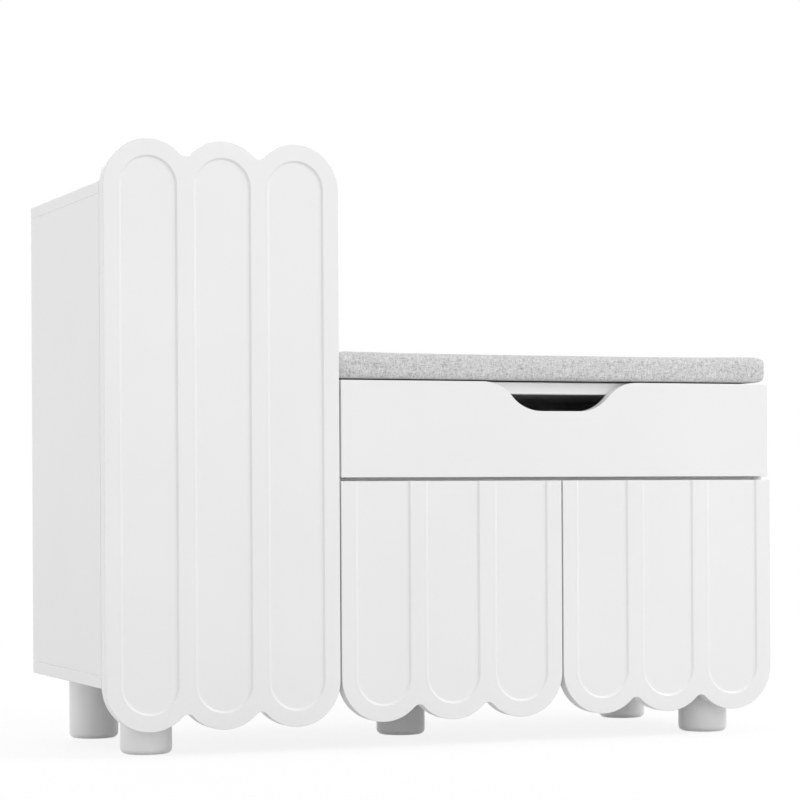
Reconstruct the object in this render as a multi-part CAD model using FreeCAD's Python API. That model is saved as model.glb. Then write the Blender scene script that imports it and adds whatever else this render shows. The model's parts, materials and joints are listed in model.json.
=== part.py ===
import FreeCAD, Part
import math
import os

# Shoe storage bench: a tall cabinet with one scalloped door beside a bench with a drawer,
# two scalloped doors and a cushion. Millimetres, +Z up, origin under the middle of the box,
# front towards -Y.

V = FreeCAD.Vector
AXIS_X = V(1, 0, 0)
AXIS_Y = V(0, 1, 0)
AXIS_Z = V(0, 0, 1)

# Cabinet
width = 888.0
carcass_depth = 330.0
board = 15.0
foot_height = 82.0
tall_height = 683.0
seat_top = 450.0
tall_width = 295.5
edge_ease = 0.9
back_board = 3.0
back_inset = 10.0
groove_depth = 5.0
shelf_setback = 26.0
shelf_play = 0.6
panel_fit = 0.1

# Doors
door_thickness = 18.0
door_air = 2.0
door_gap = 2.0
door_edge_round = 2.5
lobe_overlap = 9.0
cusp_round = 9.0
recess_stile = 21.0
recess_depth = 2.0
recess_bevel = 2.4
tall_door_rise = 50.0
tall_door_drop = 52.0
bench_door_drop = 50.0
bench_door_lap = 5.0

# Drawer
drawer_space = 98.5
drawer_front_thickness = 15.0
drawer_seam = 4.5
drawer_front_inset = 1.5
drawer_edge_round = 1.5
scoop_depth = 36.5
scoop_flat = 53.5
scoop_mouth = 212.0
drawer_board = 12.0
drawer_top_gap = 21.5
drawer_rear_gap = 27.0
drawer_box_lift = 7.0
drawer_bottom_board = 3.0
drawer_bottom_lift = 8.0

# Drawer runners
runner_space = 12.7
runner_height = 45.0
runner_gauge = 1.2
runner_setback = 6.0
runner_rear_gap = 11.0
channel_air = 3.7
rail_air = 4.7
ball_radius = 2.2
ball_play = 0.1
ball_count = 5
cage_length = 80.0
cage_gauge = 0.8
cage_play = 0.3
cage_lip = 0.9
cage_start = 105.0

# Feet
foot_diameter = 62.5
foot_edge_round = 7.0
foot_side_inset = 67.0
foot_front_inset = 42.0
foot_rear_inset = 50.0
stud_radius = 4.0
stud_in_foot = 30.0
stud_in_base = 11.0

# Cushion
cushion_gap = 2.0
cushion_height = 32.0
cushion_crown = 5.0
cushion_end_crown = 1.0
cushion_draw_in = 2.5
cushion_side_gap = 1.0
cushion_end_inset = 2.0
cushion_front_inset = 4.0
cushion_rear_inset = 6.0
cushion_corner = 9.0
cushion_low_corner = 6.3
cushion_end_round = 6.0
strip_length = 80.0
strip_width = 25.0
strip_inset = 60.0

# Hinges
hinge_end_inset = 63.0
bench_hinge_inset = 46.0
cup_radius = 17.4
cup_depth = 11.3
cup_wall = 1.2
cup_edge_gap = 22.5
cup_flange_gauge = 1.2
cup_flange_half = 31.0
cup_flange_width = 26.0
cup_screw_offset = 24.0
arm_half_width = 6.0
arm_gauge = 1.5
arm_nose_near = 22.0
arm_nose_far = 30.0
arm_nose_reach = 7.0
arm_root = 10.0
arm_tail = 75.0
plate_gauge = 3.5
plate_start = 28.0
plate_length = 44.0
plate_half_height = 17.0
plate_screw_offset = 12.0

# Catches
catch_length = 26.0
catch_height = 16.0
catch_thickness = 13.0
catch_proud = 0.5
strike_gauge = 1.2
strike_size = 14.0
strike_stud_length = 9.0
tall_catch_drop = 120.0
bench_catch_drop = 36.0

# Fasteners
bore_clearance = 0.05
screw_radius = 1.75
screw_head_radius = 3.5
screw_head_height = 1.4
screw_length = 12.0
screw_point_room = 1.0
rail_screw_length = 10.0
catch_screw_web = 3.0
catch_screw_setback = 16.0
cam_radius = 7.4
cam_depth = 12.0
cam_setback = 24.0
cam_throw = 4.0
cam_slot = 1.4
bolt_radius = 3.0
bolt_thread_radius = 3.5
bolt_thread_length = 10.0
dowel_radius = 4.0
dowel_in_mate = 10.0
dowel_in_board = 20.0
joint_inset = 58.0
dowel_spacing = 34.0
connector_radius = 3.5
connector_head_radius = 7.0
connector_head_height = 1.4
connector_inset = 110.0
connector_lift = 70.0
connector_drop = 24.5
pin_radius = 2.5
pin_web = 1.0
pin_tab = 9.0
pin_tab_width = 10.0
pin_tab_height = 4.0
pin_inset = 40.0
pin_hole_pitch = 32.0
pin_hole_rows = 2
drawer_dowel_radius = 3.0
drawer_dowel_reach = 9.0
drawer_dowel_inset = 18.0

# Places worked out from the sizes above
depth = carcass_depth + door_air + door_thickness
left = -width / 2
right = width / 2
door_front = -depth / 2
door_back = door_front + door_thickness
front = door_back + door_air
rear = depth / 2
back_front = rear - back_inset - back_board
back_rear = rear - back_inset
base_top = foot_height + board
tall_inner_top = tall_height - board
seat_bottom = seat_top - board
deck_top = seat_bottom - drawer_space
deck_bottom = deck_top - board
tall_right = left + tall_width
tall_door_width = tall_width - door_gap / 2
bench_door_left = tall_right + door_gap / 2
bench_door_width = (right - bench_door_left - door_gap) / 2
bench_door_top = deck_bottom + bench_door_lap
bench_middle = bench_door_left + bench_door_width + door_gap / 2
bench_inner_left = tall_right + board
bench_inner_right = right - board
shelf_front = front + shelf_setback
drawer_front_bottom = bench_door_top + drawer_seam
drawer_low = deck_top + drawer_box_lift
drawer_high = seat_bottom - drawer_top_gap
drawer_rear = back_front - drawer_rear_gap
runner_middle = (drawer_low + drawer_high) / 2
runner_flange = runner_space - channel_air
rail_flange = runner_space - rail_air
rail_height = runner_height - 2 * runner_gauge - 4 * (ball_radius + ball_play)
pin_depth = (board - pin_web) / 2
catch_screw_length = (board - catch_screw_web) / 2

pieces = {}
bores = {}


def block(x0, x1, y0, y1, z0, z1):
    return Part.makeBox(x1 - x0, y1 - y0, z1 - z0, V(x0, y0, z0))


def plank(x0, x1, y0, y1, z0, z1):
    # Board with its edge banding eased all round.
    body = block(x0, x1, y0, y1, z0, z1)
    return body.makeChamfer(edge_ease, body.Edges)


def rod(radius, start, end):
    return Part.makeCylinder(radius, (end - start).Length, start, end - start)


def add(node, *solids):
    pieces.setdefault(node, []).extend(solids)


def drill(node, cutter):
    bores.setdefault(node, []).append(cutter)


def arc(start, middle, end):
    return Part.Arc(start, middle, end).toShape()


def line(start, end):
    return Part.LineSegment(start, end).toShape()


def screw(node, seat, along, length, targets):
    # Pan-head screw whose head bears at the point seat, with its hole in each target.
    tip = seat + along * length
    head = rod(screw_head_radius, seat - along * screw_head_height, seat)
    add(node, head.fuse(rod(screw_radius, seat, tip)))
    for target in targets:
        drill(target, rod(screw_radius + bore_clearance, seat, tip + along * screw_point_room))


def cam_joint(point, into, holder, face, mate):
    # Bolt screwed into the mate, held by a cam disc that is let into one face of the holder.
    centre = point + into * cam_setback
    thread_end = point - into * bolt_thread_length
    bolt_end = centre + into * cam_throw
    bolt = rod(bolt_thread_radius, thread_end, point).fuse(rod(bolt_radius, point, bolt_end))
    add("cam_bolts", bolt)
    bore = rod(bolt_radius + bore_clearance, point, bolt_end + into * bore_clearance)
    mouth = centre + face * (board / 2)
    cam = rod(cam_radius, mouth, mouth - face * cam_depth)
    side = into.cross(face)
    slot = rod(cam_slot, mouth + (into + side) * cam_radius, mouth - (into + side) * cam_radius)
    add("cam_locks", cam.cut(bore).cut(slot))
    drill(holder, rod(cam_radius + bore_clearance, mouth, mouth - face * (cam_depth + bore_clearance)))
    drill(holder, bore)
    drill(mate, rod(bolt_thread_radius + bore_clearance, point, thread_end - into * bore_clearance))


def dowel_joint(point, into, holder, mate):
    start = point - into * dowel_in_mate
    end = point + into * dowel_in_board
    add("dowels", rod(dowel_radius, start, end))
    hole = rod(dowel_radius + bore_clearance, start - into * bore_clearance, end + into * bore_clearance)
    drill(holder, hole)
    drill(mate, hole)


def board_joint(x, z, into, holder, face, mate, last):
    # Two cam joints with a dowel beside each, towards the front and the back of a board.
    for y, inward in ((front + joint_inset, 1), (last - joint_inset, -1)):
        cam_joint(V(x, y, z), into, holder, face, mate)
        dowel_joint(V(x, y + inward * dowel_spacing, z), into, holder, mate)


def carcass():
    add("base_panel", plank(left, right, front, rear, foot_height, base_top))
    add("tall_left_side", plank(left, left + board, front, rear, base_top, tall_inner_top))
    add("tall_right_side", plank(tall_right - board, tall_right, front, rear, base_top, tall_inner_top))
    add("tall_top_panel", plank(left, tall_right, front, rear, tall_inner_top, tall_height))
    add("bench_left_side", plank(tall_right, bench_inner_left, front, rear, base_top, seat_bottom))
    add("bench_right_side", plank(bench_inner_right, right, front, rear, base_top, seat_bottom))
    add("seat_board", plank(tall_right, right, front, rear, seat_bottom, seat_top))
    last = back_front - panel_fit
    add("drawer_deck", plank(bench_inner_left, bench_inner_right, front, last, deck_bottom, deck_top))
    half = board / 2
    add("centre_divider", plank(bench_middle - half, bench_middle + half, front, last, base_top, deck_bottom))
    back_panel("tall_back_panel", left + board, tall_right - board, tall_inner_top,
               ["base_panel", "tall_left_side", "tall_right_side", "tall_top_panel"])
    back_panel("bench_back_panel", bench_inner_left, bench_inner_right, seat_bottom,
               ["base_panel", "bench_left_side", "bench_right_side", "seat_board"])
    for node, x, face in (("tall_left_side", left + half, AXIS_X),
                          ("tall_right_side", tall_right - half, -AXIS_X)):
        board_joint(x, base_top, AXIS_Z, node, face, "base_panel", back_front)
        board_joint(x, tall_inner_top, -AXIS_Z, node, face, "tall_top_panel", back_front)
    for node, x, face in (("bench_left_side", tall_right + half, AXIS_X),
                          ("bench_right_side", right - half, -AXIS_X)):
        board_joint(x, base_top, AXIS_Z, node, face, "base_panel", back_front)
        board_joint(x, seat_bottom, -AXIS_Z, node, face, "seat_board", back_front)
        board_joint(x + face.x * half, deck_top - half, face, "drawer_deck", -AXIS_Z, node, last)
    board_joint(bench_middle, base_top, AXIS_Z, "centre_divider", AXIS_X, "base_panel", last)
    board_joint(bench_middle, deck_bottom, -AXIS_Z, "centre_divider", AXIS_X, "drawer_deck", last)
    connectors()


def back_panel(node, x0, x1, top, holders):
    # Thin board let into a groove round the opening.
    reach = groove_depth - panel_fit
    add(node, block(x0 - reach, x1 + reach, back_front, back_rear, base_top - reach, top + reach))
    groove = block(x0 - groove_depth, x1 + groove_depth, back_front - panel_fit, back_rear + panel_fit,
                   base_top - groove_depth, top + groove_depth)
    for holder in holders:
        drill(holder, groove)


def connectors():
    # Through bolts that hold the two cabinets side by side.
    faces = (tall_right - board, bench_inner_left)
    for y in (front + connector_inset, rear - connector_inset):
        for z in (base_top + connector_lift, deck_bottom - connector_drop):
            start = V(faces[0], y, z)
            end = V(faces[1], y, z)
            bolt = rod(connector_radius, start, end)
            bolt = bolt.fuse(rod(connector_head_radius, start, start - AXIS_X * connector_head_height))
            bolt = bolt.fuse(rod(connector_head_radius, end, end + AXIS_X * connector_head_height))
            add("cabinet_connectors", bolt)
            for node in ("tall_right_side", "bench_left_side"):
                drill(node, rod(connector_radius + bore_clearance, start, end))


def shelf(node, x0, x1, level, sides, rows):
    # Loose shelf on four pins, with spare pin holes above and below.
    last = back_front - shelf_play
    add(node, plank(x0 + shelf_play, x1 - shelf_play, shelf_front, last, level, level + board))
    for x, side, inward in ((x0, sides[0], 1), (x1, sides[1], -1)):
        for y in (shelf_front + pin_inset, last - pin_inset):
            z = level - pin_tab_height / 2
            shank = rod(pin_radius, V(x - inward * pin_depth, y, z), V(x, y, z))
            tab_end = x + inward * pin_tab
            tab = block(min(x, tab_end), max(x, tab_end), y - pin_tab_width / 2, y + pin_tab_width / 2,
                        level - pin_tab_height, level)
            add("shelf_pins", shank.fuse(tab))
            for row in range(-rows, rows + 1):
                hole = V(x, y, z + row * pin_hole_pitch)
                bottom = hole - AXIS_X * (inward * (pin_depth + bore_clearance))
                drill(side, rod(pin_radius + bore_clearance, hole, bottom))


def shelves():
    x0 = left + board
    x1 = tall_right - board
    space = (tall_inner_top - base_top - 3 * board) / 4
    for i, name in enumerate(("lower", "middle", "upper")):
        level = base_top + space + i * (space + board)
        shelf("tall_shelf_" + name, x0, x1, level, ("tall_left_side", "tall_right_side"), pin_hole_rows)
    level = (base_top + deck_bottom - board) / 2
    half = board / 2
    shelf("bench_shelf_left", bench_inner_left, bench_middle - half, level,
          ("bench_left_side", "centre_divider"), 0)
    shelf("bench_shelf_right", bench_middle + half, bench_inner_right, level,
          ("centre_divider", "bench_right_side"), 0)


def feet():
    xs = (left + foot_side_inset, right - foot_side_inset)
    ys = (front + foot_front_inset, rear - foot_rear_inset)
    places = {"front_left": (xs[0], ys[0]), "front_right": (xs[1], ys[0]), "rear_left": (xs[0], ys[1]),
              "rear_right": (xs[1], ys[1]), "centre": (0.0, (ys[0] + ys[1]) / 2)}
    for name, (x, y) in places.items():
        foot = rod(foot_diameter / 2, V(x, y, 0), V(x, y, foot_height))
        foot = foot.makeFillet(foot_edge_round, [e for e in foot.Edges if e.BoundBox.ZMax < 1])
        add("foot_" + name, foot)
        stud_low = V(x, y, foot_height - stud_in_foot)
        stud_high = V(x, y, foot_height + stud_in_base)
        add("foot_studs", rod(stud_radius, stud_low, stud_high))
        grip = AXIS_Z * bore_clearance
        for node in ("foot_" + name, "base_panel"):
            drill(node, rod(stud_radius + bore_clearance, stud_low - grip, stud_high + grip))


def lobe_sizes(door_width):
    # Pitch and radius of the three lobes across a door.
    lobe_pitch = (door_width - 2 * lobe_overlap) / 3
    return lobe_pitch, lobe_pitch / 2 + lobe_overlap


def lobes(x0, door_width, z, side, y):
    # Edges of one scalloped end, left to right: lobe arcs joined by round cusps.
    # z is the height of the lobe centres and side is 1 for the top, -1 for the bottom.
    lobe_pitch, lobe_radius = lobe_sizes(door_width)
    centres = [V(x0 + lobe_radius + i * lobe_pitch, y, z) for i in range(3)]
    rise = math.sqrt((lobe_radius + cusp_round) ** 2 - (lobe_pitch / 2) ** 2)
    share = lobe_radius / (lobe_radius + cusp_round)
    start = centres[0] - AXIS_X * lobe_radius
    edges = []
    for i, centre in enumerate(centres):
        tip = centre + AXIS_Z * (side * lobe_radius)
        if i == 2:
            edges.append(arc(start, tip, centre + AXIS_X * lobe_radius))
            break
        cusp = centre + AXIS_X * (lobe_pitch / 2) + AXIS_Z * (side * rise)
        touch = centre + (cusp - centre) * share
        after = centres[i + 1] + (cusp - centres[i + 1]) * share
        edges.append(arc(start, tip, touch))
        edges.append(arc(touch, cusp - AXIS_Z * (side * cusp_round), after))
        start = after
    return edges


def door_outline(x0, door_width, bottom, top, scalloped_top, y):
    x1 = x0 + door_width
    lobe_radius = lobe_sizes(door_width)[1]
    low = bottom + lobe_radius
    high = top - lobe_radius if scalloped_top else top
    edges = lobes(x0, door_width, low, -1, y)
    edges.append(line(V(x1, y, low), V(x1, y, high)))
    if scalloped_top:
        edges += lobes(x0, door_width, high, 1, y)
    else:
        edges.append(line(V(x1, y, top), V(x0, y, top)))
    edges.append(line(V(x0, y, high), V(x0, y, low)))
    return Part.Wire(Part.__sortEdges__(edges))


def recess_outline(x, low, high, radius, round_top, y):
    # Stadium about x between two arc centres, or a trough that is open at its top.
    edges = [arc(V(x - radius, y, low), V(x, y, low - radius), V(x + radius, y, low)),
             line(V(x + radius, y, low), V(x + radius, y, high))]
    if round_top:
        edges.append(arc(V(x + radius, y, high), V(x, y, high + radius), V(x - radius, y, high)))
    else:
        edges.append(line(V(x + radius, y, high), V(x - radius, y, high)))
    edges.append(line(V(x - radius, y, high), V(x - radius, y, low)))
    return Part.Wire(edges)


def door_panel(x0, door_width, bottom, top, scalloped_top):
    face = Part.Face(door_outline(x0, door_width, bottom, top, scalloped_top, door_front))
    panel = face.extrude(AXIS_Y * door_thickness)
    rim = [e for e in panel.Edges if e.BoundBox.YMax < door_front + 0.01]
    panel = panel.makeFillet(door_edge_round, rim)
    lobe_pitch, lobe_radius = lobe_sizes(door_width)
    recess_width = lobe_pitch - recess_stile
    low = bottom + lobe_radius
    high = top - lobe_radius if scalloped_top else top + recess_width
    lead = recess_depth
    slope = recess_bevel / recess_depth
    for i in range(3):
        x = x0 + lobe_radius + i * lobe_pitch
        radius = recess_width / 2
        mouth = recess_outline(x, low, high, radius + lead * slope, scalloped_top, door_front - lead)
        floor = recess_outline(x, low, high, radius - recess_bevel, scalloped_top, door_front + recess_depth)
        panel = panel.cut(Part.makeLoft([mouth, floor], True, True))
    return panel


def hinge(name, edge, inward, side_face, side, z):
    # Concealed hinge: a cup let into the door, an arm that reaches into it, and the arm's plate.
    x = edge + inward * cup_edge_gap
    centre = V(x, door_back, z)
    cup = rod(cup_radius, centre, centre - AXIS_Y * cup_depth)
    half = cup_flange_width / 2
    flange = block(x - half, x + half, door_back, door_back + cup_flange_gauge,
                   z - cup_flange_half, z + cup_flange_half)
    hollow = rod(cup_radius - cup_wall, centre + AXIS_Y * cup_flange_gauge,
                 centre - AXIS_Y * (cup_depth - cup_wall))
    cups = name + "_hinge_cups"
    add(cups, cup.fuse(flange).cut(hollow))
    seat_depth = cup_depth + bore_clearance
    drill(name + "_door", rod(cup_radius + bore_clearance, centre, centre - AXIS_Y * seat_depth))
    for offset in (-cup_screw_offset, cup_screw_offset):
        seat = centre + V(0, cup_flange_gauge, offset)
        screw(name + "_door_screws", seat, -AXIS_Y, screw_length, [cups, name + "_door"])

    plate_top = side_face + inward * plate_gauge
    plate_y = front + plate_start
    plate = block(min(side_face, plate_top), max(side_face, plate_top), plate_y, plate_y + plate_length,
                  z - plate_half_height, z + plate_half_height)
    add("hinge_plates", plate)
    for offset in (-plate_screw_offset, plate_screw_offset):
        seat = V(plate_top, plate_y + plate_length / 2, z + offset)
        screw("carcass_screws", seat, AXIS_X * -inward, screw_length, ["hinge_plates", side])

    near = edge + inward * arm_nose_near
    far = edge + inward * arm_nose_far
    nose = block(min(near, far), max(near, far), door_back - arm_nose_reach, front + plate_start,
                 z - arm_half_width, z + arm_half_width)
    body = block(min(plate_top, far), max(plate_top, far), front + arm_root, front + arm_tail,
                 z - arm_half_width, z + arm_half_width)
    half = arm_half_width - arm_gauge
    channel = block(min(near, far) + arm_gauge, max(near, far) - arm_gauge, front + arm_root + arm_gauge,
                    front + arm_tail + arm_gauge, z - half, z + half)
    add(name + "_hinge_arms", nose.fuse(body).cut(channel).removeSplitter())


def catch(name, side_face, inward, side, z):
    # Magnetic catch on a board's face and the steel plate that it holds, on the door.
    far = side_face + inward * catch_thickness
    y0 = front - catch_proud
    add("magnetic_catches", block(min(side_face, far), max(side_face, far), y0, y0 + catch_length,
                                  z - catch_height / 2, z + catch_height / 2))
    seat = V(far, y0 + catch_screw_setback, z)
    reach = catch_thickness + catch_screw_length
    screw("carcass_screws", seat, AXIS_X * -inward, reach, ["magnetic_catches", side])
    x = side_face + inward * catch_thickness / 2
    half = strike_size / 2
    strike = name + "_strike_plate"
    plate = block(x - half, x + half, door_back, door_back + strike_gauge, z - half, z + half)
    stud_top = V(x, door_back, z)
    stud_end = stud_top - AXIS_Y * strike_stud_length
    add(strike, plate.fuse(rod(screw_radius, stud_top, stud_end)))
    drill(name + "_door", rod(screw_radius + bore_clearance, stud_top, stud_end - AXIS_Y * bore_clearance))


def doors():
    tall_bottom = foot_height - tall_door_drop
    bench_bottom = foot_height - bench_door_drop
    tall_top = tall_height + tall_door_rise
    add("tall_door", door_panel(left, tall_door_width, tall_bottom, tall_top, True))
    for name, x0 in (("left_door", bench_door_left), ("right_door", right - bench_door_width)):
        add(name, door_panel(x0, bench_door_width, bench_bottom, bench_door_top, False))
    for z in (base_top + hinge_end_inset, tall_inner_top - hinge_end_inset):
        hinge("tall", left, 1, left + board, "tall_left_side", z)
    for z in (base_top + bench_hinge_inset, deck_bottom - bench_hinge_inset):
        hinge("left", bench_door_left, 1, bench_inner_left, "bench_left_side", z)
        hinge("right", right, -1, bench_inner_right, "bench_right_side", z)
    half = board / 2
    catch("tall", tall_right - board, -1, "tall_right_side", tall_inner_top - tall_catch_drop)
    catch("left", bench_middle - half, -1, "centre_divider", deck_bottom - bench_catch_drop)
    catch("right", bench_middle + half, 1, "centre_divider", deck_bottom - bench_catch_drop)


def drawer_front(x0, x1, y0):
    # Board with a scoop in its top edge: two S curves of equal arcs down to a flat bottom.
    middle = (x0 + x1) / 2
    low = seat_top - scoop_depth
    run = (scoop_mouth - scoop_flat) / 4
    drop = scoop_depth / 2
    radius = (run ** 2 + drop ** 2) / (2 * drop)
    half_turn = math.asin(run / radius) / 2
    aside = radius * math.sin(half_turn)
    down = radius * (1 - math.cos(half_turn))
    mouth = scoop_mouth / 2
    flat = scoop_flat / 2

    def at(x, z):
        return V(middle + x, y0, z)

    edges = [line(V(x0, y0, drawer_front_bottom), V(x1, y0, drawer_front_bottom)),
             line(V(x1, y0, drawer_front_bottom), V(x1, y0, seat_top)),
             line(V(x1, y0, seat_top), at(mouth, seat_top)),
             arc(at(mouth, seat_top), at(mouth - aside, seat_top - down), at(mouth - run, low + drop)),
             arc(at(flat + run, low + drop), at(flat + aside, low + down), at(flat, low)),
             line(at(flat, low), at(-flat, low)),
             arc(at(-flat, low), at(-flat - aside, low + down), at(-flat - run, low + drop)),
             arc(at(run - mouth, low + drop), at(aside - mouth, seat_top - down), at(-mouth, seat_top)),
             line(at(-mouth, seat_top), V(x0, y0, seat_top)),
             line(V(x0, y0, seat_top), V(x0, y0, drawer_front_bottom))]
    panel = Part.Face(Part.Wire(edges)).extrude(AXIS_Y * drawer_front_thickness)
    rim = [e for e in panel.Edges if e.BoundBox.YMax < y0 + 0.01]
    return panel.makeFillet(drawer_edge_round, rim)


def drawer():
    x0 = bench_door_left + drawer_front_inset
    x1 = right - drawer_front_inset
    add("drawer_front", drawer_front(x0, x1, door_back - drawer_front_thickness))
    box_left = bench_inner_left + runner_space
    box_right = bench_inner_right - runner_space
    inner_left = box_left + drawer_board
    inner_right = box_right - drawer_board
    y1 = drawer_rear
    add("drawer_left_side", plank(box_left, inner_left, door_back, y1, drawer_low, drawer_high))
    add("drawer_right_side", plank(inner_right, box_right, door_back, y1, drawer_low, drawer_high))
    add("drawer_back", plank(inner_left, inner_right, y1 - drawer_board, y1, drawer_low, drawer_high))
    grip = groove_depth - panel_fit
    z0 = drawer_low + drawer_bottom_lift
    add("drawer_bottom", block(inner_left - grip, inner_right + grip, door_back - grip,
                               y1 - drawer_board + grip, z0, z0 + drawer_bottom_board))
    groove = block(inner_left - groove_depth, inner_right + groove_depth, door_back - groove_depth,
                   y1 - drawer_board + groove_depth, z0 - panel_fit, z0 + drawer_bottom_board + panel_fit)
    for node in ("drawer_front", "drawer_left_side", "drawer_right_side", "drawer_back"):
        drill(node, groove)
    for z in (z0 + drawer_dowel_inset, drawer_high - drawer_dowel_inset):
        for x, side, outward in ((inner_left, "drawer_left_side", -1), (inner_right, "drawer_right_side", 1)):
            middle = V(x + outward * drawer_board / 2, door_back, z)
            drawer_dowel(middle, AXIS_Y, side, "drawer_front")
            drawer_dowel(V(x, y1 - drawer_board / 2, z), AXIS_X * outward, side, "drawer_back")


def drawer_dowel(point, along, first, second):
    start = point - along * drawer_dowel_reach
    end = point + along * drawer_dowel_reach
    add("drawer_dowels", rod(drawer_dowel_radius, start, end))
    gap = along * bore_clearance
    for node in (first, second):
        drill(node, rod(drawer_dowel_radius + bore_clearance, start - gap, end + gap))


def channel_section(x, outward, reach, height, y0, y1):
    # C section: a web against a board at x and two flanges that point towards the other member.
    web = x + outward * runner_gauge
    tip = x + outward * reach
    low = runner_middle - height / 2
    high = runner_middle + height / 2
    shape = block(min(x, web), max(x, web), y0, y1, low, high)
    for z0 in (low, high - runner_gauge):
        shape = shape.fuse(block(min(x, tip), max(x, tip), y0, y1, z0, z0 + runner_gauge))
    return shape.removeSplitter()


def runners():
    y0 = front + runner_setback
    y1 = back_front - runner_rear_gap
    rail_end = min(y1, drawer_rear)
    for name, face, inward, board_node in (("left", bench_inner_left, 1, "bench_left_side"),
                                           ("right", bench_inner_right, -1, "bench_right_side")):
        channel = "runner_channel_" + name
        rail = "runner_rail_" + name
        box_face = face + inward * runner_space
        add(channel, channel_section(face, inward, runner_flange, runner_height, y0, y1))
        add(rail, channel_section(box_face, -inward, rail_flange, rail_height, y0, rail_end))
        for y in (y0 + joint_inset, y1 - joint_inset):
            seat = V(face + inward * runner_gauge, y, runner_middle)
            screw("carcass_screws", seat, AXIS_X * -inward, screw_length, [channel, board_node])
            seat = V(box_face - inward * runner_gauge, y, runner_middle)
            side = "drawer_" + name + "_side"
            screw("drawer_screws", seat, AXIS_X * inward, rail_screw_length, [rail, side])
        ball_cage(face, inward, y0 + cage_start)


def ball_cage(face, inward, y0):
    # Strip behind the rail with two lips that carry the balls between the flanges.
    track = (runner_height / 2 - runner_gauge + rail_height / 2) / 2
    strip_near = face + inward * (runner_gauge + screw_head_height + cage_play)
    strip_far = strip_near + inward * cage_gauge
    ball_x = face + inward * (rail_air + runner_flange) / 2
    lip_end = ball_x + inward * cage_lip
    y1 = y0 + cage_length
    half = cage_gauge / 2
    cage = block(min(strip_near, strip_far), max(strip_near, strip_far), y0, y1,
                 runner_middle - track - half, runner_middle + track + half)
    balls = []
    for side in (-1, 1):
        z = runner_middle + side * track
        cage = cage.fuse(block(min(strip_near, lip_end), max(strip_near, lip_end), y0, y1,
                               z - half, z + half))
        for i in range(ball_count):
            y = y0 + cage_length * (i + 0.5) / ball_count
            balls.append(V(ball_x, y, z))
    cage = cage.removeSplitter()
    for place in balls:
        cage = cage.cut(Part.makeSphere(ball_radius + bore_clearance, place))
        add("ball_cages", Part.makeSphere(ball_radius, place))
    add("ball_cages", cage)


def cushion_section(x, inset, crown, draw):
    # Cross section of the pad: flat bottom, bowed front and back, crowned top.
    y0 = door_front + cushion_front_inset + inset + draw
    y1 = rear - cushion_rear_inset - inset - draw
    z0 = seat_top + cushion_gap + inset
    z1 = seat_top + cushion_gap + cushion_height - inset
    corner = cushion_corner - min(inset, cushion_corner / 2)
    bow = corner * (1 - math.sqrt(0.5))
    low = cushion_low_corner - min(inset, cushion_low_corner / 2)
    rim = low * (1 - math.sqrt(0.5))
    edges = [line(V(x, y0 + low, z0), V(x, y1 - low, z0)),
             arc(V(x, y1 - low, z0), V(x, y1 - rim, z0 + rim), V(x, y1, z0 + low)),
             line(V(x, y1, z0 + low), V(x, y1, z1 - corner)),
             arc(V(x, y1, z1 - corner), V(x, y1 - bow, z1 - bow), V(x, y1 - corner, z1)),
             arc(V(x, y1 - corner, z1), V(x, (y0 + y1) / 2, z1 + crown), V(x, y0 + corner, z1)),
             arc(V(x, y0 + corner, z1), V(x, y0 + bow, z1 - bow), V(x, y0, z1 - corner)),
             line(V(x, y0, z1 - corner), V(x, y0, z0 + low)),
             arc(V(x, y0, z0 + low), V(x, y0 + rim, z0 + rim), V(x, y0 + low, z0))]
    return Part.Wire(edges)


def cushion():
    x0 = tall_right + cushion_side_gap
    x1 = right - cushion_end_inset
    length = x1 - x0
    stations = []
    for share in (0.0, 0.15, 0.5, 1.0):
        inset = cushion_end_round * (1 - math.sqrt(1 - (1 - share) ** 2))
        stations.append((share * cushion_corner, inset))
    sections = [(x0 + at, inset) for at, inset in stations]
    sections += [(x0 + length * share, 0.0) for share in (0.15, 0.32, 0.5, 0.68, 0.85)]
    sections += [(x1 - at, inset) for at, inset in reversed(stations)]
    wires = []
    for x, inset in sections:
        swell = math.sin(math.pi * (x - x0) / length)
        crown = cushion_end_crown + (cushion_crown - cushion_end_crown) * swell
        wires.append(cushion_section(x, inset, crown, cushion_draw_in * swell))
    add("cushion", Part.makeLoft(wires, True, True))
    for x in (x0 + strip_inset, x1 - strip_inset - strip_length):
        for y in (front + strip_inset, rear - strip_inset - strip_width):
            add("hook_and_loop_strips", block(x, x + strip_length, y, y + strip_width,
                                              seat_top, seat_top + cushion_gap))


def touches(a, b):
    return a.BoundBox.intersect(b.BoundBox)


def export():
    os.makedirs("parts", exist_ok=True)
    for node, solids in pieces.items():
        done = []
        for solid in solids:
            cutters = [c for c in bores.get(node, []) if touches(c, solid)]
            if cutters:
                solid = solid.cut(cutters)
            done += solid.Solids
        shape = done[0] if len(done) == 1 else Part.makeCompound(done)
        shape.exportStep("parts/" + node + ".step")


carcass()
shelves()
feet()
doors()
drawer()
runners()
cushion()
export()
print(len(pieces), "nodes")
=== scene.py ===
import json
import math
import bpy
import numpy as np
from mathutils import Matrix, Vector
from mathutils.geometry import delaunay_2d_cdt


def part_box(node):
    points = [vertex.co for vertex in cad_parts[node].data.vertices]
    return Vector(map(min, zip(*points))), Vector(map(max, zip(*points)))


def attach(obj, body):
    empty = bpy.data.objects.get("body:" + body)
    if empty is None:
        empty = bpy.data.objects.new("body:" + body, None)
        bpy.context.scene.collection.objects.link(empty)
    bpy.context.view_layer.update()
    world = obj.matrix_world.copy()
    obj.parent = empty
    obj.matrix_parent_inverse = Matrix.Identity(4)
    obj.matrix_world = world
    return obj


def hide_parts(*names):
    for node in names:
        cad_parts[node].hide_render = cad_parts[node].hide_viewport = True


# White scalloped shoe bench with a grey linen seat pad. Metres, floor at z = 0, front towards -y.

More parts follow.
